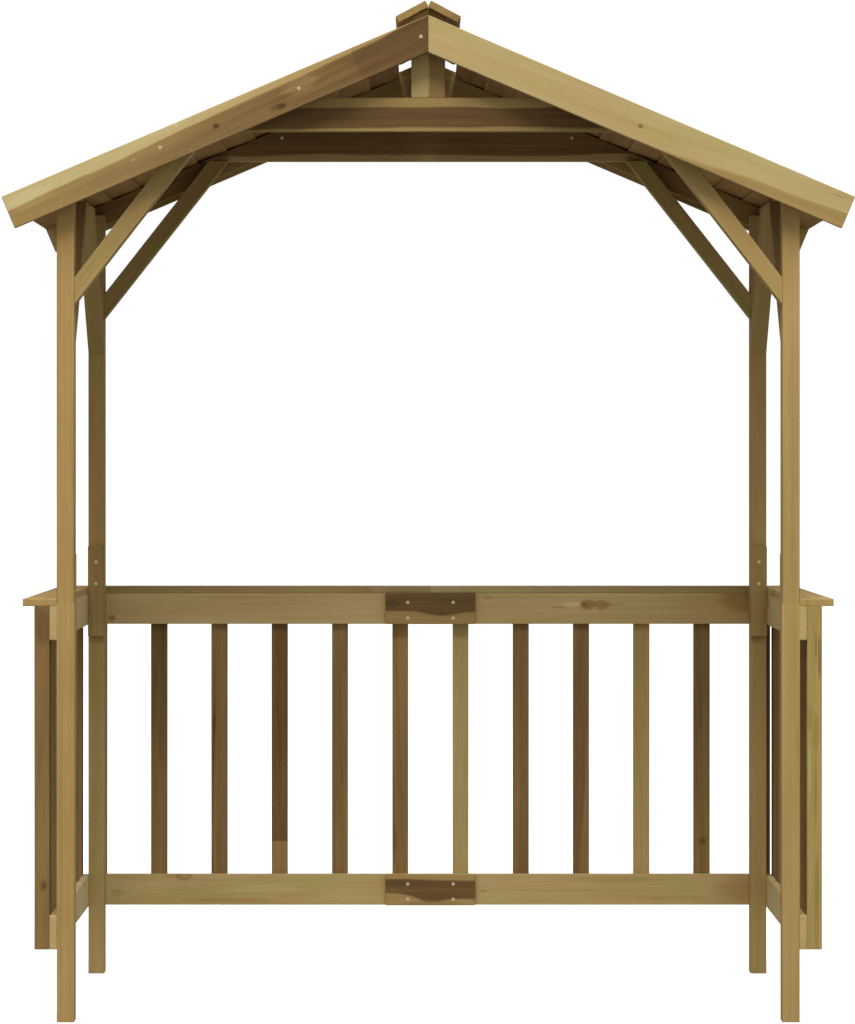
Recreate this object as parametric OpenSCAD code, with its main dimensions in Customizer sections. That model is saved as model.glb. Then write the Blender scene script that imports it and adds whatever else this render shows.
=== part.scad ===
// Barbecue shelter: an open timber frame on four posts with a small gable
// roof of overlapping boards, a low baluster railing with a narrow shelf on
// both sides and at the back, and knee braces under the roof.
// X is the width (right positive), Y runs from front to back, Z is up.
// The origin is on the ground, at the middle of the whole object.

/* [Frame] */
// Width over the outer faces of the posts
frame_w = 1530; // [1200:1:1800]
// Depth from the front posts' front face to the rear posts' rear face
frame_d = 832; // [700:1:1100]
// Width of a post across the front
post_w = 36; // [28:1:60]
// Depth of a post from front to back
post_d = 45; // [34:1:60]
// Height of the posts
post_h = 1711; // [1600:1:1740]
// Height at which the lower and upper lengths of a post meet
post_joint_z = 863; // [780:1:1000]
// Length of the splice plates on posts and rails
splice_l = 203; // [120:1:300]

/* [Boards] */
// Width of the planed boards used for rails, shelves and gables
board_w = 70; // [60:1:80]
// Thickness of those boards
board_t = 15; // [12:1:18]
// Height of the underside of the shelves
shelf_z = 857; // [750:1:950]
// Height of the underside of the lower rails
rail_low_z = 150; // [80:1:250]

/* [Roof] */
// Half the width of the roof, from the ridge to the eave
roof_half = 874; // [850:1:920]
// Pitch of the roof in degrees
roof_pitch = 23.05; // [20:0.05:26]
// Height of the whole shelter
total_h = 2102; // [2095:1:2140]
// Height of the top edge of the bargeboards at the ridge
ridge_z = 2068.8; // [2068:0.1:2100]
// Slope of the two ridge cap boards in degrees
cap_pitch = 28; // [24:0.5:32]
// Distance from one course of roof boards to the next, up the slope
course_pitch = 70.7; // [69:0.1:72]
// Width of one roof board, overlap included
course_w = 77; // [75:0.5:80]
// Number of courses above the eave board, on each side
n_courses = 11; // [6:1:11]
// Distance up the slope from the eave to the first course
first_course = 90.4; // [90:0.1:98]
// Width of the eave board, overlap included
eave_board_w = 100; // [100:0.5:108]
// Height of the tie beams' underside
tie_z = 1834; // [1800:1:1834]

/* [Railing] */
// Number of balusters on each side
side_balusters = 7; // [3:1:9]
// Number of balusters at the back
rear_balusters = 12; // [4:1:12]
// Distance between the rear balusters' centre lines
rear_pitch = 137.05; // [100:0.01:137.05]
// Offset of the rear railing to the right
rear_shift = 7; // [0:1:12]
// Width of a baluster
baluster_w = 36; // [25:1:45]
// Thickness of a baluster
baluster_t = 31; // [20:1:31]

/* [Hidden] */
y_c = 426.5;
x_out = frame_w/2;
x_in = x_out - post_w;
rafter_t = 34;
rafter_h = 45;
plate_t = 15;
cap_w = 70;
cap_cut = 1.8;
cap_z = total_h - board_t*cos(cap_pitch) - cap_cut*sin(cap_pitch);
eave_z = ridge_z - roof_half*tan(roof_pitch);
rail_zs = [rail_low_z, shelf_z - board_w];
post_c = "#b29a66";
board_c = "#a98a58";
roof_c = "#8d7548";
baluster_c = "#b59c68";
brace_c = "#ad9460";

// A point in the gable's plane: u up the slope from the eave of the right
// bargeboard's top edge, d square down from that edge.
function P(u, d) = [roof_half - u*cos(roof_pitch) - d*sin(roof_pitch),
                    eave_z + u*sin(roof_pitch) - d*cos(roof_pitch)];
function ridge_pt(d) = [0, ridge_z - d/cos(roof_pitch)];
function roof_x(z, d) = (ridge_z - d/cos(roof_pitch) - z)/tan(roof_pitch);

// A box from its limits; Y is counted from the front face of the front posts.
module bx(x0, x1, y0, y1, z0, z1)
  translate([x0, y0 - y_c, z0]) cube([x1 - x0, y1 - y0, z1 - z0]);
// An outline in the gable's plane, given its depth.
module xz(y0, t)
  translate([0, y0 + t - y_c, 0]) rotate([90, 0, 0]) linear_extrude(height = t) children();
// An outline in a side's plane, given its thickness.
module yz(x0, t)
  translate([x0, -y_c, 0]) rotate([90, 0, 90]) linear_extrude(height = t) children();
// The right side as it is drawn, or its mirror image on the left.
module side(right) {
  if (right) children();
  else mirror([1, 0, 0]) children();
}

module post(right, rear, z0, z1)
  color(post_c) side(right)
    bx(x_in, x_out, rear ? frame_d - post_d : 0, rear ? frame_d : post_d, z0, z1);

module post_splice_plates()
  color(post_c) for (right = [false, true]) side(right) {
    bx(x_in, x_out, post_d, post_d + plate_t, post_joint_z - splice_l/2, post_joint_z + splice_l/2);
    bx(x_in, x_out, frame_d - post_d - plate_t, frame_d - post_d,
       post_joint_z - splice_l/2, post_joint_z + splice_l/2);
  }

module wall_plate(right)
  color(board_c) side(right) bx(x_out - plate_t, x_out, 0, frame_d, post_h, post_h + plate_t);

module rafter(right, rear)
  color(brace_c) side(right) xz(rear ? frame_d : -rafter_t, rafter_t)
    polygon([ridge_pt(board_t + 1), ridge_pt(board_t + 1 + rafter_h),
             P(40, board_t + 1 + rafter_h), P(40, board_t + 1)]);

module bargeboard(right, rear)
  color(board_c) side(right) xz(rear ? frame_d + rafter_t : -rafter_t - board_t, board_t)
    polygon([ridge_pt(0), ridge_pt(board_w), P(0, board_w), P(0, 0)]);

module tie_beam(rear)
  color(board_c) xz(rear ? frame_d - board_t : 0, board_t)
    polygon([[-roof_x(tie_z, 16.3), tie_z], [roof_x(tie_z, 16.3), tie_z],
             [roof_x(tie_z + board_w, 16.3), tie_z + board_w],
             [-roof_x(tie_z + board_w, 16.3), tie_z + board_w]]);

module king_post(rear)
  color(board_c) xz(rear ? frame_d - board_t : 0, board_t)
    polygon([[-board_w/2, tie_z + board_w], [board_w/2, tie_z + board_w],
             [board_w/2, cap_z - board_w/2*tan(cap_pitch)], [0, cap_z],
             [-board_w/2, cap_z - board_w/2*tan(cap_pitch)]]);

// Knee braces in the plane of the front or of the back. The rear ones reach
// a little further in along the tie beam.
module cross_braces(rear)
  color(brace_c) for (right = [false, true]) side(right)
    xz(rear ? frame_d - post_d : 0, post_d)
      polygon([[x_in, tie_z - 356], [x_in, tie_z - 300.5],
               [x_in - (rear ? 236 : 230), tie_z], [x_in - (rear ? 280 : 277.5), tie_z]]);

// Knee braces in the plane of a side, at 45 degrees
module long_braces(right)
  color(brace_c) side(right) for (rear = [false, true])
    yz(x_in, post_w)
      translate([rear ? frame_d : 0, 0]) mirror([rear ? 1 : 0, 0])
        polygon([[post_d, post_h - 311], [post_d, post_h - 263],
                 [post_d + 263, post_h], [post_d + 311, post_h]]);

// Feather-edged boards that overlap up the slope, open along the ridge
module roof_boards(right)
  color(roof_c) side(right) {
    xz(-rafter_t, frame_d + 2*rafter_t)
      polygon([P(0, 13.7), P(eave_board_w, 16), P(eave_board_w, 13.3), P(0, 0.5)]);
    for (k = [0 : n_courses - 1])
      let (u = first_course + k*course_pitch)
        xz(-rafter_t, frame_d + 2*rafter_t)
          polygon([P(u, 11.9), P(u + course_w, 16), P(u + course_w, 13.3), P(u, 0.5)]);
  }

// The two cap boards meet along a narrow plumb cut above the ridge
module ridge_cap(right) {
  along = [cos(cap_pitch), -sin(cap_pitch)];
  out = [sin(cap_pitch), cos(cap_pitch)];
  a = [0.3, cap_z];
  b = a - cap_cut*along;
  color(board_c) side(right) xz(-20, frame_d + 40)
    polygon([a, b + cap_w*along, b + cap_w*along + board_t*out, b + board_t*out,
             a + [0, cap_cut/sin(cap_pitch)]]);
}

module side_rail(right, i)
  color(board_c) side(right) bx(x_out, x_out + board_t, 0, frame_d, rail_zs[i], rail_zs[i] + board_w);

module rear_rail(i)
  color(board_c) {
    bx(-x_out, rear_shift - 0.3, frame_d, frame_d + board_t, rail_zs[i], rail_zs[i] + board_w);
    bx(rear_shift + 0.3, x_out + 2*rear_shift, frame_d, frame_d + board_t, rail_zs[i], rail_zs[i] + board_w);
  }

module rear_splice_plates()
  color(board_c) for (z = rail_zs)
    bx(rear_shift - splice_l/2, rear_shift + splice_l/2, frame_d - plate_t, frame_d, z, z + board_w);

module side_baluster_row(right)
  color(baluster_c) side(right) for (i = [0 : side_balusters - 1])
    let (y = i*(frame_d - baluster_w)/(side_balusters - 1))
      bx(x_out + board_t, x_out + board_t + baluster_t, y, y + baluster_w, rail_low_z, shelf_z);

module rear_baluster_row()
  color(baluster_c) for (i = [0 : rear_balusters - 1])
    let (x = rear_shift + (i - (rear_balusters - 1)/2)*rear_pitch - baluster_w/2)
      bx(x, x + baluster_w, frame_d + board_t, frame_d + board_t + baluster_t, rail_low_z, shelf_z);

module side_shelf(right)
  color(board_c) side(right) bx(x_out, x_out + board_w, 0, frame_d, shelf_z, shelf_z + board_t);

module rear_shelf_boards()
  color(board_c) {
    bx(-x_out - board_w, rear_shift - 0.3, frame_d, frame_d + board_w, shelf_z, shelf_z + board_t);
    bx(rear_shift + 0.3, x_out + board_w, frame_d, frame_d + board_w, shelf_z, shelf_z + board_t);
  }

// The named pieces
module front_left_post_lower() post(false, false, 0, post_joint_z);
module front_left_post_upper() post(false, false, post_joint_z, post_h);
module front_right_post_lower() post(true, false, 0, post_joint_z);
module front_right_post_upper() post(true, false, post_joint_z, post_h);
module rear_left_post_lower() post(false, true, 0, post_joint_z);
module rear_left_post_upper() post(false, true, post_joint_z, post_h);
module rear_right_post_lower() post(true, true, 0, post_joint_z);
module rear_right_post_upper() post(true, true, post_joint_z, post_h);
module left_wall_plate() wall_plate(false);
module right_wall_plate() wall_plate(true);
module front_left_rafter() rafter(false, false);
module front_right_rafter() rafter(true, false);
module rear_left_rafter() rafter(false, true);
module rear_right_rafter() rafter(true, true);
module front_left_bargeboard() bargeboard(false, false);
module front_right_bargeboard() bargeboard(true, false);
module rear_left_bargeboard() bargeboard(false, true);
module rear_right_bargeboard() bargeboard(true, true);
module front_tie_beam() tie_beam(false);
module rear_tie_beam() tie_beam(true);
module front_king_post() king_post(false);
module rear_king_post() king_post(true);
module front_knee_braces() cross_braces(false);
module rear_knee_braces() cross_braces(true);
module left_knee_braces() long_braces(false);
module right_knee_braces() long_braces(true);
module left_roof_boards() roof_boards(false);
module right_roof_boards() roof_boards(true);
module left_ridge_cap() ridge_cap(false);
module right_ridge_cap() ridge_cap(true);
module left_top_rail() side_rail(false, 1);
module left_bottom_rail() side_rail(false, 0);
module right_top_rail() side_rail(true, 1);
module right_bottom_rail() side_rail(true, 0);
module rear_top_rail() rear_rail(1);
module rear_bottom_rail() rear_rail(0);
module left_balusters() side_baluster_row(false);
module right_balusters() side_baluster_row(true);
module rear_balusters_row() rear_baluster_row();
module left_shelf() side_shelf(false);
module right_shelf() side_shelf(true);
module rear_shelf() rear_shelf_boards();

front_left_post_lower();
front_left_post_upper();
front_right_post_lower();
front_right_post_upper();
rear_left_post_lower();
rear_left_post_upper();
rear_right_post_lower();
rear_right_post_upper();
post_splice_plates();
left_wall_plate();
right_wall_plate();
front_left_rafter();
front_right_rafter();
rear_left_rafter();
rear_right_rafter();
front_left_bargeboard();
front_right_bargeboard();
rear_left_bargeboard();
rear_right_bargeboard();
front_tie_beam();
rear_tie_beam();
front_king_post();
rear_king_post();
front_knee_braces();
rear_knee_braces();
left_knee_braces();
right_knee_braces();
left_roof_boards();
right_roof_boards();
left_ridge_cap();
right_ridge_cap();
left_top_rail();
left_bottom_rail();
right_top_rail();
right_bottom_rail();
rear_top_rail();
rear_bottom_rail();
rear_splice_plates();
left_balusters();
right_balusters();
rear_balusters_row();
left_shelf();
right_shelf();
rear_shelf();
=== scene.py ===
import bpy, bmesh, math, random
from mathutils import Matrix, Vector


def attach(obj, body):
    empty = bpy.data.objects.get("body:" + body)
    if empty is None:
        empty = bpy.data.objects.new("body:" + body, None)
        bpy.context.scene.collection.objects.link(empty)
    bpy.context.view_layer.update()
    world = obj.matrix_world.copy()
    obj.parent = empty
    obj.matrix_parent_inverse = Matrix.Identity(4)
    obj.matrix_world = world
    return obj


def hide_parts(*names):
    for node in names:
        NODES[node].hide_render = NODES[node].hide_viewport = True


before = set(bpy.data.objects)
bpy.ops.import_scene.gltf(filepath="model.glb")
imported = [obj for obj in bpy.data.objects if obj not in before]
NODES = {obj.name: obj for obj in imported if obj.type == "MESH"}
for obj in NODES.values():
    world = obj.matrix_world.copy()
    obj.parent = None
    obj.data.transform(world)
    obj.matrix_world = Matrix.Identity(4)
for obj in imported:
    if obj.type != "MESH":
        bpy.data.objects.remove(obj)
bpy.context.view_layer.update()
scene = bpy.context.scene

# ------------------------------------------------------------------ camera
cam_data = bpy.data.cameras.new("camera")
cam = bpy.data.objects.new("camera", cam_data)
scene.collection.objects.link(cam)
scene.camera = cam
cam.location = (-0.0196, -8.6265, 1.151)
cam.rotation_euler = (math.pi / 2, 0, 0)
cam_data.sensor_width = 36.0
cam_data.lens = 140.03
cam_data.shift_x = 0.0086
cam_data.shift_y = -0.04746
cam_data.clip_end = 6000


# ------------------------------------------------------------------ colours
def lin(r, g, b):
    """A colour given in display values 0 to 255, as the linear values a shader takes."""
    out = []
    for v in (r, g, b):
        v = v / 255
        out.append(v / 12.92 if v <= 0.04045 else ((v + 0.055) / 1.055) ** 2.4)
    return (*out, 1.0)


# ------------------------------------------------------------------ shader helper
class Tree:
    """Short names for making and joining shader nodes."""

    def __init__(self, tree):
        self.t = tree
        self.n = 0

    def add(self, kind, **props):
        node = self.t.nodes.new(kind)
        node.location = ((self.n % 12) * 190, -(self.n // 12) * 260)
        self.n += 1
        for k, v in props.items():
            setattr(node, k, v)
        return node

    def put(self, socket, value):
        if isinstance(value, bpy.types.NodeSocket):
            self.t.links.new(value, socket)
        else:
            socket.default_value = value

    def m(self, op, a, b=None, c=None, clamp=False):
        node = self.add("ShaderNodeMath", operation=op, use_clamp=clamp)
        for s, v in zip(node.inputs, (a, b, c)):
            if v is not None:
                self.put(s, v)
        return node.outputs[0]

    def v(self, op, a, b=None, scale=None):
        node = self.add("ShaderNodeVectorMath", operation=op)
        self.put(node.inputs[0], a)
        if b is not None:
            self.put(node.inputs[1], b)
        if scale is not None:
            self.put(node.inputs["Scale"], scale)
        return node.outputs["Value"] if op in ("LENGTH", "DISTANCE", "DOT_PRODUCT") else node.outputs["Vector"]

    def xyz(self, x, y, z):
        node = self.add("ShaderNodeCombineXYZ")
        for s, v in zip(node.inputs, (x, y, z)):
            self.put(s, v)
        return node.outputs[0]

    def parts(self, vec):
        node = self.add("ShaderNodeSeparateXYZ")
        self.put(node.inputs[0], vec)
        return node.outputs

    def noise(self, vec, detail=2.0, rough=0.5, dims="3D"):
        node = self.add("ShaderNodeTexNoise", noise_dimensions=dims)
        self.put(node.inputs["Vector"], vec)
        node.inputs["Scale"].default_value = 1.0
        node.inputs["Detail"].default_value = detail
        node.inputs["Roughness"].default_value = rough
        return node.outputs[0], node.outputs[1]

    def smooth(self, x, a, b, lo=0.0, hi=1.0):
        node = self.add("ShaderNodeMapRange", interpolation_type="SMOOTHSTEP", clamp=True)
        self.put(node.inputs["Value"], x)
        self.put(node.inputs["From Min"], a)
        self.put(node.inputs["From Max"], b)
        self.put(node.inputs["To Min"], lo)
        self.put(node.inputs["To Max"], hi)
        return node.outputs[0]

    def mix(self, f, a, b, mode="MIX"):
        node = self.add("ShaderNodeMix", data_type="RGBA", blend_type=mode)
        self.put(node.inputs[0], f)
        self.put(node.inputs[6], a)
        self.put(node.inputs[7], b)
        return node.outputs[2]

    def attribute(self, name):
        return self.add("ShaderNodeAttribute", attribute_name=name).outputs["Vector"]


RAMP = [
    (0.00, (200, 182, 136)),
    (0.22, (184, 163, 114)),
    (0.45, (166, 138, 85)),
    (0.66, (142, 115, 71)),
    (0.84, (113, 87, 51)),
    (1.00, (83, 60, 34)),
]


def pine(name, knots=(), loose_knots=True, marks=(), swells=(), sheen=0.12):
    """Planed, impregnated pine. The board's own attributes place it in a log: rings, heartwood and knots
    follow from that. knots: (board, l, w, th, radius, length over width, way through) in metres in that
    board's own frame; marks have an amount of darkening as well, swells a distance by which the
    heartwood reaches farther out."""
    mat = bpy.data.materials.new(name)
    mat.use_nodes = True
    mat.node_tree.nodes.clear()
    t = Tree(mat.node_tree)
    log = t.attribute("log")
    rel = t.attribute("rel")
    tag = t.parts(t.attribute("tag"))[0]

    def off(b, l, w, th, radius, ratio, through):
        """Distance from a knot's axis in radii, far away on every other board."""
        stretch = (1 / (radius * ratio), 0.0 if through == "w" else 1 / radius, 1 / radius if through == "w" else 0.0)
        d = t.v("LENGTH", t.v("MULTIPLY", t.v("SUBTRACT", rel, (l, w, th)), stretch))
        return t.m("ADD", d, t.m("MULTIPLY", t.m("ABSOLUTE", t.m("SUBTRACT", tag, float(b))), 1000.0))

    tone_a = t.parts(t.attribute("tone_a"))
    tone_b = t.parts(t.attribute("tone_b"))
    tone_c = t.parts(t.attribute("tone_c"))
    base, strength, heart_r = tone_a[0], tone_a[1], tone_a[2]
    green, bright, knotty = tone_b[0], tone_b[1], tone_b[2]
    warm, step_at, step_by = tone_c[0], tone_c[1], tone_c[2]
    L, Y, Z = t.parts(log)[:3]

    # the log wanders a little along its length
    wander = t.v("SUBTRACT", t.noise(t.v("MULTIPLY", log, (2.2, 6.0, 6.0)), 2.0)[1], (0.5, 0.5, 0.5))
    wander = t.v("MULTIPLY", wander, (0.0, 0.016, 0.016))
    ripple = t.v("SUBTRACT", t.noise(t.v("MULTIPLY", log, (13.0, 30.0, 30.0)), 1.0)[1], (0.5, 0.5, 0.5))
    ripple = t.v("MULTIPLY", ripple, (0.0, 0.0035, 0.0035))
    place = t.v("ADD", t.v("ADD", log, wander), ripple)
    across = t.v("MULTIPLY", place, (0.0, 1.0, 1.0))
    r0 = t.v("LENGTH", across)

    # distance to the nearest knot, in knot widths
    near = None
    if loose_knots:
        vor = t.add("ShaderNodeTexVoronoi", feature="F1")
        t.put(vor.inputs["Vector"], t.v("MULTIPLY", t.v("ADD", log, ripple), (5.2, 9.5, 9.5)))
        vor.inputs["Scale"].default_value = 1.0
        # knotty 1 keeps every knot, lower values shrink them all
        near = t.m("DIVIDE", vor.outputs["Distance"], t.m("MULTIPLY", knotty, 0.115))
    for k in knots:
        d = off(*k)
        near = d if near is None else t.m("MINIMUM", near, d)
    if near is None:
        near = t.m("MULTIPLY", 10.0, 1.0)
    bulge = t.smooth(near, 4.2, 0.3)
    r = t.m("ADD", r0, t.m("MULTIPLY", t.m("MULTIPLY", bulge, bulge), 0.011))

    # annual rings
    uneven = t.noise(t.xyz(t.m("MULTIPLY", L, 0.25), t.m("MULTIPLY", r, 55.0), 0.0), 2.0)[0]
    phase = t.m("ADD", t.m("DIVIDE", r, 0.0044), t.m("MULTIPLY", uneven, 3.0))
    f = t.m("FRACT", phase)
    late = t.m("MULTIPLY", t.smooth(f, 0.35, 0.88), t.smooth(f, 1.0, 0.93))

    fibre = t.noise(t.v("MULTIPLY", place, (11.0, 760.0, 760.0)), 2.0, 0.6)[0]
    streak = t.noise(t.v("MULTIPLY", place, (1.5, 75.0, 75.0)), 3.0, 0.55)[0]
    cloud = t.noise(t.v("MULTIPLY", place, (2.6, 15.0, 15.0)), 3.0, 0.5)[0]
    fine = t.noise(t.v("MULTIPLY", place, (3.5, 260.0, 260.0)), 2.0, 0.6)[0]
    line = t.smooth(fine, 0.70, 0.80)

    edge_noise = t.noise(t.v("MULTIPLY", log, (5.5, 20.0, 20.0)), 2.0)[0]
    edge = t.m("ADD", r, t.m("MULTIPLY", t.m("SUBTRACT", edge_noise, 0.5), 0.014))
    for *k, reach in swells:
        edge = t.m("SUBTRACT", edge, t.m("MULTIPLY", t.smooth(off(*k), 1.5, 0.0), reach))
    heart = t.smooth(edge, t.m("ADD", heart_r, 0.0028), t.m("SUBTRACT", heart_r, 0.0028))

    knot = t.smooth(near, 1.12, 0.86)
    rim = t.m("MULTIPLY", t.smooth(near, 0.72, 0.98), t.smooth(near, 1.35, 1.02))
    halo = t.smooth(near, 2.6, 0.9)

    pos = t.m("ADD", base, t.m("MULTIPLY", strength, heart))
    pos = t.m("ADD", pos, t.m("MULTIPLY", t.m("SUBTRACT", late, 0.28), 0.034))
    pos = t.m("ADD", pos, t.m("MULTIPLY", t.m("SUBTRACT", streak, 0.5), 0.24))
    pos = t.m("ADD", pos, t.m("MULTIPLY", t.m("SUBTRACT", cloud, 0.5), 0.30))
    pos = t.m("ADD", pos, t.m("MULTIPLY", t.m("SUBTRACT", fibre, 0.5), 0.07))
    pos = t.m("ADD", pos, t.m("MULTIPLY", line, 0.09))
    # a patch let in, or a length joined on: a sudden change of tone
    pos = t.m("ADD", pos, t.m("MULTIPLY", t.m("LESS_THAN", t.parts(rel)[0], step_at), step_by))
    for *k, amount in marks:
        d = t.m("ADD", off(*k), t.m("MULTIPLY", t.m("SUBTRACT", streak, 0.5), 1.2))
        pos = t.m("ADD", pos, t.m("MULTIPLY", t.smooth(d, 1.25, 0.6), amount))
    pos = t.m("ADD", pos, t.m("MULTIPLY", halo, 0.10))
    pos = t.m("ADD", pos, t.m("MULTIPLY", knot, 0.28))
    pos = t.m("ADD", pos, t.m("MULTIPLY", rim, 0.14))
    ramp = t.add("ShaderNodeValToRGB")
    ramp.color_ramp.interpolation = "LINEAR"
    els = ramp.color_ramp.elements
    while len(els) < len(RAMP):
        els.new(0.5)
    for e, (p, c) in zip(els, RAMP):
        e.position = p
        e.color = lin(*c)
    t.put(ramp.inputs[0], pos)
    colour = ramp.outputs[0]

    # where the salts soaked in unevenly the wood is greener
    soak = t.noise(t.v("MULTIPLY", log, (3.0, 26.0, 26.0)), 2.0)[0]
    soak = t.m("MULTIPLY", t.smooth(soak, 0.42, 0.66), green)
    soak = t.m("MULTIPLY", soak, t.m("SUBTRACT", 1.0, t.m("MULTIPLY", heart, 0.8)))
    colour = t.mix(soak, colour, t.mix(1.0, colour, (0.86, 1.02, 0.80, 1.0), "MULTIPLY"))
    # heartwood is browner, some boards are browner all over
    ruddy = t.m("ADD", warm, t.m("MULTIPLY", heart, 0.08))
    colour = t.mix(ruddy, colour, t.mix(1.0, colour, (1.08, 0.965, 0.86, 1.0), "MULTIPLY"))
    colour = t.v("SCALE", colour, scale=bright)

    bump = t.add("ShaderNodeBump")
    bump.inputs["Strength"].default_value = 0.35
    bump.inputs["Distance"].default_value = 0.0007
    height = t.m("ADD", t.m("MULTIPLY", fibre, 0.5), t.m("MULTIPLY", late, 0.55))
    height = t.m("SUBTRACT", height, t.m("MULTIPLY", line, 0.9))
    height = t.m("ADD", height, t.m("MULTIPLY", knot, 0.5))
    t.put(bump.inputs["Height"], height)
    bsdf = t.add("ShaderNodeBsdfPrincipled")
    t.put(bsdf.inputs["Base Color"], colour)
    t.put(bsdf.inputs["Roughness"], t.m("SUBTRACT", 0.84, t.m("MULTIPLY", late, 0.12)))
    bsdf.inputs["Specular IOR Level"].default_value = sheen
    t.put(bsdf.inputs["Normal"], bump.outputs[0])
    out = t.add("ShaderNodeOutputMaterial")
    t.t.links.new(bsdf.outputs[0], out.inputs[0])
    return mat


# ------------------------------------------------------------------ boards
def solids_of(node):
    """The node's separate solids, each as (points, faces) with flat faces whole again."""
    bm = bmesh.new()
    bm.from_mesh(NODES[node].data)
    bmesh.ops.remove_doubles(bm, verts=bm.verts, dist=2e-6)
    bmesh.ops.dissolve_limit(bm, angle_limit=math.radians(0.6), verts=bm.verts, edges=bm.edges)
    left, groups = set(bm.verts), []
    while left:
        stack, got = [next(iter(left))], set()
        while stack:
            v = stack.pop()
            if v in got:
                continue
            got.add(v)
            stack.extend(e.other_vert(v) for e in v.link_edges)
        left -= got
        groups.append(got)
    out = []
    for got in groups:
        pts = sorted(got, key=lambda v: v.index)
        where = {v: i for i, v in enumerate(pts)}
        faces = {f for v in pts for f in v.link_faces}
        out.append((
            [v.co.copy() for v in pts],
            [[where[v] for v in f.verts] for f in sorted(faces, key=lambda f: f.index)],
        ))
    bm.free()
    out.sort(key=lambda s: tuple(round(sum(p[i] for p in s[0]) / len(s[0]), 3) for i in (0, 1, 2)))
    return out


def facing(v):
    """v or its opposite, whichever points more up, then more to the right, then more to the back."""
    big = max(range(3), key=lambda i: abs(v[i]) + (0.02, 0.0, 0.01)[i])
    return v if v[big] > 0 else -v


def axes_of(points, faces):
    """Centre, the three directions (along, across, thick) and half sizes of a board."""
    edges = {tuple(sorted((f[i], f[i - 1]))) for f in faces for i in range(len(f))}
    a, b = max(edges, key=lambda e: (points[e[0]] - points[e[1]]).length)
    along = facing((points[a] - points[b]).normalized())
    best = None
    for i, j in edges:
        d = points[i] - points[j]
        d -= along * d.dot(along)
        if best is None or d.length > best.length:
            best = d
    across = facing(best.normalized())
    thick = along.cross(across).normalized()
    spans = [(min(p.dot(d) for p in points), max(p.dot(d) for p in points)) for d in (along, across, thick)]
    centre = sum(((lo + hi) / 2 * d for (lo, hi), d in zip(spans, (along, across, thick))), Vector())
    half = [(hi - lo) / 2 for lo, hi in spans]
    if half[1] < half[2]:
        across, thick, half = thick, across, [half[0], half[2], half[1]]
        across, thick = facing(across), thick
    if thick.y > 0.001 or (abs(thick.y) <= 0.001 and thick.z < 0):
        thick = -thick
    return centre, (along, across, thick), half


LAYERS = ("log", "rel", "tag", "tone_a", "tone_b", "tone_c")


def board(bm, layers, points, faces, look, bevel, seed, index, joint=None):
    """One board with rounded edges, with its place in the log written to its vertices."""
    rnd = random.Random(seed)
    centre, (along, across, thick), half = axes_of(points, faces)
    part = bmesh.new()
    vs = [part.verts.new(p) for p in points]
    if joint is not None:
        for v in vs:
            if abs(v.co[joint[0]] - joint[1]) < 5e-4:
                v.co[joint[0]] = joint[1]
    for f in faces:
        part.faces.new([vs[i] for i in f])
    bmesh.ops.recalc_face_normals(part, faces=part.faces)
    # two lengths that butt together keep sharp edges there; joint: (axis, place)
    round_off = [e for e in part.edges
                 if joint is None or any(abs(v.co[joint[0]] - joint[1]) > 5e-4 for v in e.verts)]
    bmesh.ops.bevel(part, geom=round_off, offset=bevel, offset_type="OFFSET", segments=2,
                    profile=0.6, affect="EDGES", clamp_overlap=True)
    start = rnd.uniform(-40, 40) if look["origin"] is None else look["origin"] + centre.dot(along)
    made = {}
    for v in part.verts:
        n = bm.verts.new(v.co)
        made[v] = n
        d = v.co - centre
        l, w, th = d.dot(along), d.dot(across), d.dot(thick)
        n[layers["log"]] = (l + start,
                            w - look["pith_w"] - look["lean"] * l,
                            th - look["pith_t"] - look["lean_t"] * l)
        n[layers["rel"]] = (l, w, th)
        n[layers["tag"]] = (index, 0, 0)
        n[layers["tone_a"]] = (look["base"] + look["base_l"] * l / half[0], look["heart"], look["heart_r"])
        n[layers["tone_b"]] = (look["green"], look["bright"], look["knotty"])
        n[layers["tone_c"]] = (look["warm"], look["step_at"], look["step_by"])
    for f in part.faces:
        bm.faces.new([made[v] for v in f.verts])
    part.free()


def random_look(seed, base=0.45, spread=0.10, heart_share=0.4):
    """How one board was cut: which part of the log, how light, how green."""
    r = random.Random(seed)
    hearty = r.random() < heart_share
    return {
        "pith_w": r.uniform(-0.05, 0.05),
        "pith_t": r.choice((-1, 1)) * r.uniform(0.012, 0.05),
        "lean": r.uniform(-0.02, 0.02),
        "lean_t": r.uniform(-0.012, 0.012),
        "base": base + r.uniform(-spread, spread),
        "base_l": r.uniform(-0.04, 0.04),
        "heart": r.uniform(0.12, 0.30),
        "heart_r": r.uniform(0.03, 0.055) if hearty else 0.002,
        "green": r.uniform(0.2, 0.8),
        "bright": 1.0,
        "knotty": r.uniform(0.55, 1.0),
        "warm": r.uniform(0.0, 0.35),
        "step_at": -9.0,
        "step_by": 0.0,
        "origin": None,
    }


MATS = {}


def material(key, **kw):
    if key not in MATS:
        MATS[key] = pine(key, **kw)
    return MATS[key]


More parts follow.
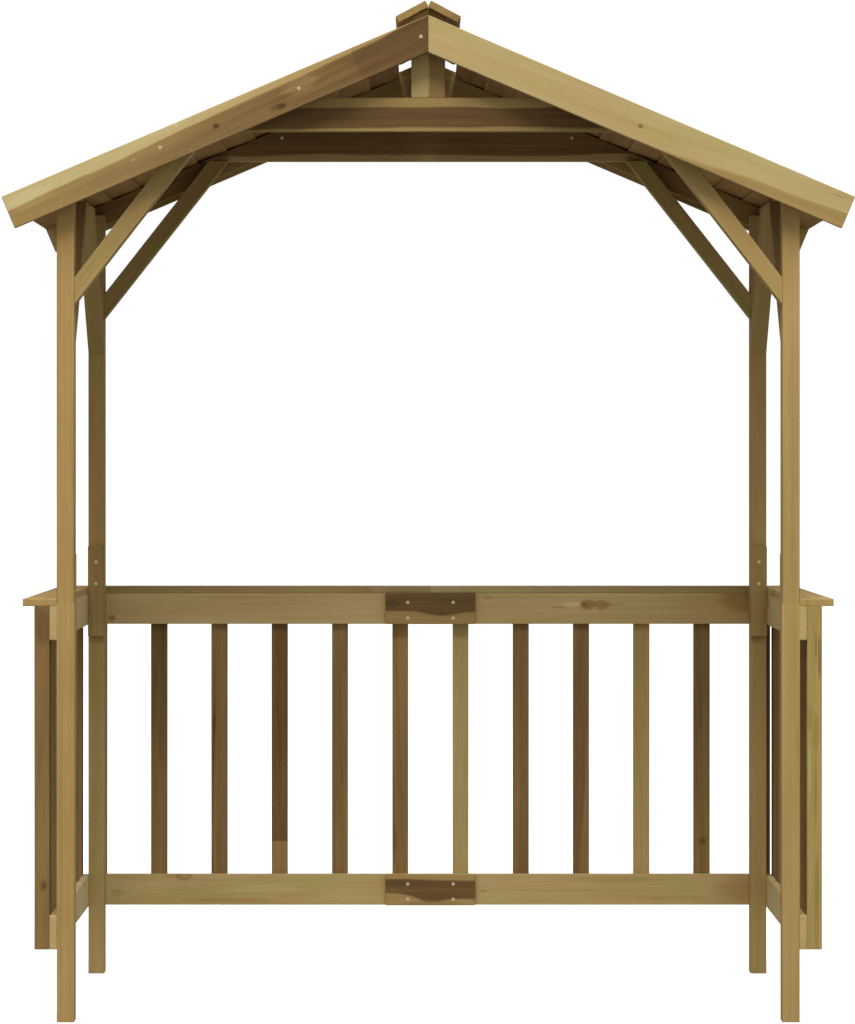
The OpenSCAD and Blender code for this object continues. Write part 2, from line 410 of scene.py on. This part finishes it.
def piece(node, mat, looks=None, bevel=0.0016, base=0.45, spread=0.08, heart_share=0.4, seed=None, joint=None):
    """The finished boards that stand for one CAD node."""
    me = bpy.data.meshes.new(node + "_wood")
    bm = bmesh.new()
    layers = {k: bm.verts.layers.float_vector.new(k) for k in LAYERS}
    s0 = sum(ord(c) * (i + 7) for i, c in enumerate(node)) if seed is None else seed
    for i, (pts, faces) in enumerate(solids_of(node)):
        look = random_look(s0 * 31 + i, base, spread, heart_share)
        if looks and i in looks:
            look.update(looks[i])
        elif looks and "all" in looks:
            look.update(looks["all"])
        board(bm, layers, pts, faces, look, bevel, s0 * 17 + i, i, joint)
    bm.to_mesh(me)
    bm.free()
    for p in me.polygons:
        p.use_smooth = True
    ob = bpy.data.objects.new(node + "_wood", me)
    scene.collection.objects.link(ob)
    me.materials.append(mat)
    wn = ob.modifiers.new("weighted", "WEIGHTED_NORMAL")
    wn.weight = 100
    wn.keep_sharp = False
    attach(ob, "root")
    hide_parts(node)
    return ob


def spot(node, index, x, y, z):
    """A point given in millimetres (y counted from the front posts) as a place on one board."""
    centre, axes, _ = axes_of(*solids_of(node)[index])
    d = Vector((x, y - 426.5, z)) / 1000 - centre
    return index, d.dot(axes[0]), d.dot(axes[1]), d.dot(axes[2])


# Boards with their own look. Nodes that are not listed get the common one.
HERO = {}


def hero(node, knots=(), marks=(), swells=(), looks=None, **kw):
    HERO[node] = dict(knots=knots, marks=marks, swells=swells, looks=looks or {}, kw=kw)


# posts: one straight, quiet board in two lengths
for post, look in (
    ("front_left_post", dict(pith_w=0.052, pith_t=-0.03, base=(0.42, 0.46), base_l=(0.0, 0.0), green=0.15, warm=0.35)),
    ("front_right_post", dict(pith_w=-0.047, pith_t=-0.035, base=(0.42, 0.45), base_l=(0.0, 0.0), green=0.15, warm=0.25)),
    # the rear posts are darker towards their tops, the upper lengths more so: painted shade under the roof, added to
    # the shade the key light already gives them
    ("rear_left_post", dict(pith_w=0.03, pith_t=-0.04, base=(0.41, 0.53), base_l=(0.07, 0.05), green=0.45, warm=0.05)),
    ("rear_right_post", dict(pith_w=-0.04, pith_t=-0.03, base=(0.45, 0.45), base_l=(0.0, 0.09), green=0.30, warm=0.15)),
):
    for i, part in enumerate(("_lower", "_upper")):
        look = dict(look, lean=0.0, lean_t=0.0, heart_r=0.002, origin=3.0 + len(post) * 1.7)
        look_i = dict(look, base=look["base"][i], base_l=look["base_l"][i])
        hero(post + part, looks={"all": look_i}, joint=(2, 0.863))

hero("post_splice_plates", looks={
    i: dict(base=(0.54, 0.55, 0.54, 0.49)[i], heart_r=0.002, green=0.35, warm=0.05) for i in range(4)})

# gables
hero("front_left_bargeboard",
     knots=[(*spot("front_left_bargeboard", 0, -434.4, -49, 1841.5), 0.0034, 1.3, "th"),
            (*spot("front_left_bargeboard", 0, -299.4, -49, 1882.4), 0.0036, 1.7, "th")],
     marks=[(*spot("front_left_bargeboard", 0, -603, -49, 1772), 0.0016, 2.5, "th", -0.30),
            (*spot("front_left_bargeboard", 0, -486, -49, 1793), 0.0014, 2.0, "th", -0.25),
            (*spot("front_left_bargeboard", 0, -619, -49, 1744), 0.0013, 1.5, "th", -0.25),
            (*spot("front_left_bargeboard", 0, -752, -49, 1685), 0.0013, 1.6, "th", -0.25),
            (*spot("front_left_bargeboard", 0, -785, -49, 1722), 0.0013, 1.6, "th", 0.20),
            (*spot("front_left_bargeboard", 0, -516, -49, 1844), 0.0035, 0.8, "th", -0.60),
            (*spot("front_left_bargeboard", 0, -310, -49, 1880), 0.0060, 2.6, "th", 0.10),
            (*spot("front_left_bargeboard", 0, -225, -49, 1934), 0.0200, 4.0, "th", -0.05),
            (*spot("front_left_bargeboard", 0, -262, -49, 1923), 0.0140, 3.0, "th", -0.10),
            (*spot("front_left_bargeboard", 0, -815, -49, 1694), 0.0200, 2.5, "th", -0.08)],
     looks={0: dict(pith_w=-0.042, pith_t=0.0, lean=0.0316, lean_t=0.0, heart_r=0.06, base=0.35, base_l=0.18,
                    heart=0.44, green=0.25, warm=0.0, step_at=0.30, step_by=-0.05, origin=4.2)})
hero("front_right_bargeboard",
     knots=[(*spot("front_right_bargeboard", 0, 434.3, -49, 1841.5), 0.0032, 1.2, "th")],
     marks=[(*spot("front_right_bargeboard", 0, 838, -49, 1699), 0.0012, 11.0, "th", 0.30)],
     looks={0: dict(pith_w=-0.0972, pith_t=0.0, lean=0.064, lean_t=0.0, heart_r=0.06, base=0.29, base_l=-0.04, bright=0.94,
                    heart=0.26, green=0.35, warm=0.0, origin=15.9)})
hero("front_tie_beam",
     looks={0: dict(pith_w=-0.0075, pith_t=0.002, lean=0.002, lean_t=0.0, heart_r=0.0225, base=0.59, base_l=0.0,
                    heart=0.33, green=0.35, warm=0.0, origin=7.7)})
hero("rear_tie_beam",
     looks={0: dict(pith_w=0.008, pith_t=0.002, lean=0.001, lean_t=0.0, heart_r=0.029, base=0.34, base_l=0.0,
                    heart=0.47, green=0.1, warm=0.15, origin=17.7)})
hero("front_king_post",
     looks={0: dict(pith_w=0.0585, pith_t=0.0, lean=0.0, lean_t=0.0, heart_r=0.060, base=0.35, base_l=0.0,
                    heart=0.36, green=0.5, warm=0.0, origin=2.7)})

# braces
hero("front_knee_braces", looks={
    0: dict(base=0.46, heart_r=0.002, pith_w=0.05, pith_t=-0.03, green=0.5, warm=0.0),
    1: dict(base=0.49, heart_r=0.002, pith_w=-0.04, pith_t=-0.03, green=0.4, warm=0.05)})
hero("rear_knee_braces", looks={
    0: dict(base=0.56, heart_r=0.002, pith_w=0.045, pith_t=-0.03, green=1.0, warm=0.0),
    1: dict(base=0.46, heart_r=0.002, pith_w=-0.04, pith_t=-0.03, green=1.0, warm=0.0)})
for n in ("left_knee_braces", "right_knee_braces"):
    hero(n, looks={"all": dict(base=0.57, heart_r=0.002, green=0.5, warm=0.05)})

# rear railing
hero("rear_top_rail",
     knots=[(*spot("rear_top_rail", 0, -715, 832, 800.4), 0.0048, 1.2, "th")],
     marks=[(*spot("rear_top_rail", 1, 364, 832, 830), 0.0118, 1.5, "th", 0.34),
            (*spot("rear_top_rail", 1, 356, 832, 830), 0.0050, 1.5, "th", 0.18),
            (*spot("rear_top_rail", 1, 396, 832, 829), 0.0108, 1.7, "th", 0.28),
            (*spot("rear_top_rail", 1, 392, 832, 838), 0.0030, 5.0, "th", 0.10),
            (*spot("rear_top_rail", 1, 300, 832, 824), 0.0018, 13.0, "th", 0.20),
            (*spot("rear_top_rail", 1, 425, 832, 831), 0.0018, 14.0, "th", 0.18),
            (*spot("rear_top_rail", 1, 328, 832, 830), 0.0060, 3.6, "th", -0.20),
            (*spot("rear_top_rail", 1, 140, 832, 847), 0.0050, 2.6, "th", 0.10),
            (*spot("rear_top_rail", 1, 722, 832, 842), 0.0310, 2.0, "th", 0.23),
            (*spot("rear_top_rail", 1, 250, 832, 795), 0.0060, 14.0, "th", 0.05),
            (*spot("rear_top_rail", 0, -420, 832, 846), 0.0050, 20.0, "th", 0.07),
            (*spot("rear_top_rail", 0, -250, 832, 800), 0.0050, 18.0, "th", 0.06)],
     looks={0: dict(pith_w=0.02, pith_t=-0.022, lean=0.006, heart_r=0.002, base=0.21, base_l=0.0, green=0.1,
                    warm=0.60, origin=21.0),
            1: dict(pith_w=0.004, pith_t=-0.024, lean=0.002, heart_r=0.002, base=0.27, base_l=0.05, green=0.3,
                    warm=0.60, origin=33.0)}, joint=(0, 0.007))
hero("rear_king_post", looks={0: dict(base=0.66, heart_r=0.002, warm=0.3)})
hero("rear_bottom_rail",
     marks=[(*spot("rear_bottom_rail", 1, 126.2, 832, 181.4), 0.0013, 5.0, "th", 0.45),
            (*spot("rear_bottom_rail", 0, -552, 832, 214), 0.0100, 1.9, "th", 0.28),
            (*spot("rear_bottom_rail", 0, -549, 832, 215), 0.0042, 2.0, "th", -0.18),
            (*spot("rear_bottom_rail", 0, -580, 832, 216), 0.0050, 3.2, "th", 0.12),
            (*spot("rear_bottom_rail", 0, -703, 832, 177), 0.0090, 1.8, "th", 0.12),
            (*spot("rear_bottom_rail", 0, -650, 832, 213), 0.0080, 8.0, "th", 0.06),
            (*spot("rear_bottom_rail", 0, -450, 832, 160), 0.0048, 22.0, "th", 0.09),
            (*spot("rear_bottom_rail", 0, -290, 832, 170), 0.0060, 9.0, "th", 0.09),
            (*spot("rear_bottom_rail", 0, -380, 832, 186), 0.0080, 12.0, "th", -0.07),
            (*spot("rear_bottom_rail", 1, 420, 832, 208), 0.0060, 20.0, "th", 0.07),
            (*spot("rear_bottom_rail", 1, 560, 832, 165), 0.0060, 14.0, "th", 0.06),
            (*spot("rear_bottom_rail", 1, 735, 832, 186), 0.0300, 2.4, "th", 0.11)],
     looks={0: dict(pith_w=0.03, pith_t=-0.024, lean=0.004, heart_r=0.002, base=0.28, base_l=0.0, green=0.6,
                    warm=0.45, origin=41.0),
            1: dict(pith_w=-0.02, pith_t=-0.03, lean=-0.003, heart_r=0.002, base=0.27, base_l=0.05, green=0.4,
                    warm=0.50, origin=52.0)}, joint=(0, 0.007))
hero("rear_splice_plates",
     marks=[(*spot("rear_splice_plates", 1, -78, 817, 833), 0.0080, 2.6, "th", 0.07),
            (*spot("rear_splice_plates", 0, 10, 817, 153), 0.0070, 9.0, "th", 0.14)],
     swells=[(*spot("rear_splice_plates", 1, 30, 817, 808), 0.0200, 2.2, "th", 0.009),
             (*spot("rear_splice_plates", 1, -70, 817, 857), 0.0120, 4.0, "th", -0.011),
             (*spot("rear_splice_plates", 0, -85, 817, 162), 0.0200, 2.6, "th", -0.022),
             (*spot("rear_splice_plates", 0, 10, 817, 155), 0.0180, 2.6, "th", 0.005)],
     looks={0: dict(pith_w=0.0015, pith_t=0.0, lean=0.0, lean_t=0.0, heart_r=0.0235, base=0.46, base_l=0.0,
                    heart=0.40, green=0.8, warm=0.1, origin=61.0),
            1: dict(pith_w=0.044, pith_t=0.0, lean=-0.045, lean_t=0.0, heart_r=0.050, base=0.50, base_l=0.0,
                    heart=0.36, green=1.6, warm=0.0, origin=66.0)})

# balusters, from left to right
row = [
    dict(base=0.60),
    dict(base=0.78, base_l=0.10, green=0.7, warm=0.1),
    dict(base=0.71, base_l=-0.04, green=0.2, warm=0.25),
    dict(base=0.85, base_l=-0.03, green=0.0, warm=0.35, step_at=-0.210, step_by=-0.22),
    dict(base=0.70, base_l=-0.03, green=0.4, warm=0.30),
    dict(base=0.70, base_l=-0.05, heart=0.12, heart_r=0.030, pith_w=-0.03, lean=-0.04, green=0.1, warm=0.35),
    dict(base=0.36, base_l=0.02, green=0.6, warm=0.0, heart=0.15, heart_r=0.03, pith_w=0.045, lean=0.05),
    dict(base=0.75, base_l=-0.03, green=0.0, warm=0.35),
    dict(base=0.69, base_l=-0.045, heart=0.10, heart_r=0.03, pith_w=-0.02, lean=0.05, green=0.3, warm=0.15),
    dict(base=0.41, base_l=0.03, green=0.2, warm=0.15),
    dict(base=0.74, base_l=0.04, green=0.2, warm=0.15),
    dict(base=0.60),
]
hero("rear_balusters_row",
     marks=[(*spot("rear_balusters_row", 10, 625, 847, 293), 0.0085, 1.3, "th", 0.09),
            (*spot("rear_balusters_row", 10, 625, 847, 293), 0.0040, 1.2, "th", 0.07),
            (*spot("rear_balusters_row", 4, 488 - 850, 847, 757), 0.018, 1.6, "th", -0.50)],
     looks={i: dict({"heart_r": 0.002}, **look) for i, look in enumerate(row)})
# the side balusters behind the first (boards 1 to 6 on each side) are painted dark: painted shade, for the shadow each
# throws on the next and the shade on their inner sides
hero("left_balusters",
     marks=[(*spot("left_balusters", 0, -791, 0, 282), 0.0100, 1.3, "w", 0.10),
            (*spot("left_balusters", 0, -791, 0, 282), 0.0045, 1.3, "w", 0.12),
            (*spot("left_balusters", 0, -791, 0, 812), 0.0170, 2.4, "w", 0.08)],
     looks={0: dict(base=0.74, base_l=0.07, heart=0.10, heart_r=0.03, pith_w=-0.01, lean=0.03, green=0.2,
                    warm=0.45),
            **{i: dict(base=0.69, base_l=0.0, heart_r=0.002, green=0.1, warm=0.5) for i in range(1, 7)}})
hero("right_balusters",
     marks=[(*spot("right_balusters", 0, 806, 0, 752), 0.0034, 14.0, "w", 0.24),
            (*spot("right_balusters", 0, 798, 0, 775), 0.0020, 16.0, "w", 0.20),
            (*spot("right_balusters", 0, 786, 0, 628), 0.0050, 6.0, "w", 0.11),
            (*spot("right_balusters", 0, 798, 0, 596), 0.0054, 7.0, "w", 0.12),
            (*spot("right_balusters", 0, 797, 0, 470), 0.0034, 24.0, "w", 0.14),
            (*spot("right_balusters", 0, 786, 0, 520), 0.0024, 20.0, "w", -0.12),
            (*spot("right_balusters", 0, 800, 0, 250), 0.0050, 20.0, "w", 0.14)],
     looks={0: dict(base=0.46, base_l=0.03, heart=0.10, heart_r=0.03, pith_w=0.02, lean=-0.02, green=0.8,
                    warm=0.0),
            **{i: dict(base=0.78, base_l=0.0, heart_r=0.002, green=0.1, warm=0.4) for i in range(1, 7)}})
for n in ("left_shelf", "right_shelf"):
    hero(n, looks={"all": dict(base=0.44, base_l=0.0, heart_r=0.002, green=0.2, warm=0.2)})
hero("rear_shelf", looks={i: dict(base=0.32, base_l=(0.0, 0.24)[i], bright=0.84, heart_r=0.002, green=0.3,
                                  warm=0.1, step_at=0.288, step_by=(0.09, 0.0)[i])
                          for i in (0, 1)},
     joint=(0, 0.007))
for n, base, base_l, w in (("left_top_rail", 0.18, -0.12, 0.2), ("right_top_rail", 0.28, -0.04, 0.4),
                           ("left_bottom_rail", 0.11, -0.18, 0.2), ("right_bottom_rail", 0.19, -0.10, 0.3)):
    hero(n, looks={0: dict(base=base, base_l=base_l, heart_r=0.002, green=0.2, warm=w)})
# the roof boards get browner towards the ridge
for n, top in (("left_roof_boards", 11), ("right_roof_boards", 0)):
    r = random.Random(n)
    hero(n, bevel=0.0004,
         looks={i: dict(base=0.64 + 0.12 * (1 - abs(i - top) / 11) ** 2 + r.uniform(-0.04, 0.04), base_l=0.0,
                        heart_r=0.002, green=0.0, warm=0.8) for i in range(12)})
for n in ("left_wall_plate", "right_wall_plate", "front_left_rafter", "front_right_rafter"):
    hero(n, looks={0: dict(base=0.55, heart_r=0.002)}, bevel=0.0008)
for n, dark in (("rear_left_bargeboard", 0.22), ("rear_right_bargeboard", -0.11)):
    hero(n, looks={0: dict(base=0.50, base_l=dark, heart_r=0.002, warm=0.2)}, bevel=0.0006)
for n, base in (("rear_left_rafter", 0.69), ("rear_right_rafter", 0.60)):
    hero(n, looks={0: dict(base=base, heart_r=0.002, warm=0.2)}, bevel=0.0005)
hero("left_ridge_cap", base=0.62, spread=0.02, heart_share=0.0)
hero("right_ridge_cap", base=0.71, spread=0.02, heart_share=0.0)

QUIET = {"front_left_post_lower", "front_left_post_upper", "front_right_post_lower", "front_right_post_upper",
         "rear_left_post_lower", "rear_left_post_upper", "rear_right_post_lower", "rear_right_post_upper",
         "front_tie_beam", "rear_tie_beam", "front_king_post", "front_knee_braces", "rear_knee_braces",
         "left_knee_braces", "right_knee_braces", "rear_splice_plates", "post_splice_plates",
         "left_ridge_cap", "right_ridge_cap"}
UNDER_ROOF = {"left_roof_boards", "right_roof_boards", "left_wall_plate", "right_wall_plate", "front_left_rafter",
              "front_right_rafter", "rear_left_rafter", "rear_right_rafter"}
for node in sorted(NODES):
    h = HERO.get(node, dict(knots=(), marks=(), swells=(), looks=None, kw={}))
    if h["knots"] or h["marks"] or h["swells"]:
        mat = material("pine_" + node, knots=h["knots"], marks=h["marks"], swells=h["swells"], loose_knots=False)
    elif node in UNDER_ROOF:
        mat = material("pine_rough", sheen=0.03)
    elif node in QUIET:
        mat = material("pine_clear", knots=[], loose_knots=False)
    else:
        mat = material("pine")
    piece(node, mat, looks=h["looks"], **h["kw"])


# ------------------------------------------------------------------ screws
def metal(name, colour, rough):
    mat = bpy.data.materials.new(name)
    mat.use_nodes = True
    b = mat.node_tree.nodes["Principled BSDF"]
    b.inputs["Base Color"].default_value = lin(*colour)
    b.inputs["Metallic"].default_value = 0.45
    b.inputs["Roughness"].default_value = rough
    return mat


def screws(name, places, mat, radius=0.0037):
    """Countersunk heads with a cross recess. places: (point in mm, outward direction)."""
    me = bpy.data.meshes.new(name)
    bm = bmesh.new()
    turn = random.Random(name)
    for point, normal in places:
        o = Vector((point[0], point[1] - 426.5, point[2])) / 1000
        n = Vector(normal).normalized()
        a = n.orthogonal().normalized()
        b = n.cross(a)
        spin = turn.uniform(0, math.pi / 2)
        a, b = a * math.cos(spin) + b * math.sin(spin), b * math.cos(spin) - a * math.sin(spin)

        def ring(pts, h):
            return [bm.verts.new(o + a * p[0] + b * p[1] + n * h) for p in pts]

        def circle(r, k=20):
            return [(r * math.cos(2 * math.pi * i / k), r * math.sin(2 * math.pi * i / k)) for i in range(k)]

        low = ring(circle(radius), -0.0003)
        mid = ring(circle(radius * 0.97), 0.00012)
        top = ring(circle(radius * 0.80), 0.00030)
        for lo_, up_ in ((low, mid), (mid, top)):
            for i in range(len(lo_)):
                j = (i + 1) % len(lo_)
                bm.faces.new((lo_[i], lo_[j], up_[j], up_[i]))
        w, e = radius * 0.08, radius * 0.42
        plus = [(e, -w), (e, w), (w, w), (w, e), (-w, e), (-w, w), (-e, w), (-e, -w), (-w, -w), (-w, -e), (w, -e),
                (w, -w)]
        rim = ring(plus, 0.00030)
        pit = ring([(x * 0.8, y * 0.8) for x, y in plus], -0.0002)
        edges = []
        for loop in (top, rim):
            for i in range(len(loop)):
                pair = (loop[i], loop[(i + 1) % len(loop)])
                edges.append(bm.edges.get(pair) or bm.edges.new(pair))
        bmesh.ops.triangle_fill(bm, use_beauty=True, edges=edges, normal=n)
        for i in range(len(rim)):
            j = (i + 1) % len(rim)
            bm.faces.new((rim[i], rim[j], pit[j], pit[i]))
        bm.faces.new(pit)
    bm.to_mesh(me)
    bm.free()
    ob = bpy.data.objects.new(name, me)
    scene.collection.objects.link(ob)
    me.materials.append(mat)
    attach(ob, "root")
    return ob


zinc = metal("zinc", (222, 203, 170), 0.45)
dull = metal("zinc_dull", (200, 178, 145), 0.5)
FRONT, BACK = (0, -1, 0), (0, 1, 0)
places = []
for x in (-44.5, 58.5):
    for z in (836.3, 800.8, 198.8, 164.2):
        places.append(((x, 817, z), FRONT))
screws("rear_splice_screws", places, zinc)
places = []
for x in (-746.5, 746.5):
    for z in (929, 880):
        places.append(((x, 772, z), FRONT))
    for z in (929, 880, 846, 797):
        places.append(((x, 60, z), BACK))
screws("post_splice_screws", places, zinc)
screws("rear_tie_screws", [((x, 817, 1887.7), FRONT) for x in (-329, 327)], zinc)
slope = math.radians(23.05)
for tag, y, n in (("front", -49, FRONT), ("rear", 881, BACK)):
    places = [((sx * x, y, 2068.8 - 38.04 - x * math.tan(slope)), n)
              for x in (15, 265, 549) for sx in ((-1,) if tag == "front" else (-1, 1))]
    screws(tag + "_bargeboard_screws", places, dull)
for tag, sx in (("left", -1), ("right", 1)):
    places = []
    for i in range(7):
        y = 18 + i * (832 - 36) / 6
        for z in (187, 820):
            places.append(((sx * 811, y, z), (sx, 0, 0)))
    screws(tag + "_baluster_screws", places, zinc)
    places = [((sx * 771.5, y, 872), (0, 0, 1)) for y in (22, 285, 547, 810)]
    screws(tag + "_shelf_screws", places, zinc)
    # roof boards: one screw into each rafter, near the lower edge of the board
    up = Vector((-sx * math.cos(slope), 0, math.sin(slope)))
    out = Vector((sx * math.sin(slope), 0, math.cos(slope)))
    lie = math.atan2(12.8, 77)
    normal = out * math.cos(lie) + up * math.sin(lie)
    places = []
    for k in range(-1, 11):
        u, du, wide = (90.4 + 70.7 * k, 34, 77) if k >= 0 else (0, 46, 100)
        depth = 0.5 + 12.8 * du / wide
        eave = Vector((sx * 874, 0, 2068.8 - 874 * math.tan(slope)))
        for y in (-17, 849):
            p = eave + up * (u + du) - out * depth
            places.append(((p.x, y, p.z), normal))
    screws(tag + "_roof_screws", places, zinc)
    cp = math.radians(28)
    down = Vector((sx * math.cos(cp), 0, -math.sin(cp)))
    cap_out = Vector((sx * math.sin(cp), 0, math.cos(cp)))
    top = Vector((sx * 5.8, 0, 2102)) + down * 22
    screws(tag + "_cap_screws", [((top.x, y, top.z), cap_out) for y in (7.5, 280, 552, 824.5)], zinc)
places = []
for i in range(12):
    x = 7 + (i - 5.5) * 137.05
    for z in (187, 820):
        places.append(((x, 878, z), BACK))
screws("rear_baluster_screws", places, zinc)
screws("rear_shelf_screws", [((x, 839.5, 872), (0, 0, 1)) for x in (-790, -500, -150, -20, 34, 170, 500, 790)], zinc)

# ------------------------------------------------------------------ floor and light
def paper(name, colour, glow, size, location, rotation=(0, 0, 0)):
    """A plain sheet of the studio. It is seen, and takes shadows, but throws no light on the object."""
    bpy.ops.mesh.primitive_plane_add(size=size, location=location, rotation=rotation)
    ob = bpy.context.object
    ob.name = name
    fm = bpy.data.materials.new(name)
    fm.use_nodes = True
    fb = fm.node_tree.nodes["Principled BSDF"]
    fb.inputs["Base Color"].default_value = (*colour, 1)
    fb.inputs["Roughness"].default_value = 0.9
    fb.inputs["Specular IOR Level"].default_value = 0.1
    fb.inputs["Emission Color"].default_value = (1, 1, 1, 1)
    fb.inputs["Emission Strength"].default_value = glow
    ob.data.materials.append(fm)
    ob.visible_diffuse = False
    ob.visible_glossy = False


paper("floor", (0.9, 0.9, 0.9), 0.60, 400, (0, 0, -0.0004))
paper("backdrop", (0.0, 0.0, 0.0), 1.05, 400, (0, 120, 100), (math.pi / 2, 0, 0))

world = bpy.data.worlds.new("studio")
scene.world = world
world.use_nodes = True
wt = Tree(world.node_tree)
world.node_tree.nodes.clear()
coord = wt.add("ShaderNodeTexCoord").outputs["Generated"]
up = wt.parts(coord)[2]
level = wt.smooth(up, -0.16, -0.02, 0.38, 0.62)
bg = wt.add("ShaderNodeBackground")
wt.put(bg.inputs["Color"], wt.xyz(level, level, level))
bg.inputs["Strength"].default_value = 1.0
wo = wt.add("ShaderNodeOutputWorld")
world.node_tree.links.new(bg.outputs[0], wo.inputs[0])


def area(name, loc, target, size, power, shape="SQUARE"):
    data = bpy.data.lights.new(name, "AREA")
    data.energy = power
    data.size = size
    data.shape = shape
    ob = bpy.data.objects.new(name, data)
    scene.collection.objects.link(ob)
    ob.location = loc
    ob.rotation_euler = (Vector(target) - Vector(loc)).to_track_quat("-Z", "Y").to_euler()
    return ob


area("key", (0.0, -4.6, 8.8), (0, 0, 1.0), 5.0, 900)

scene.view_settings.view_transform = "Standard"
scene.view_settings.look = "None"
scene.view_settings.exposure = 0.0
scene.view_settings.gamma = 1.0
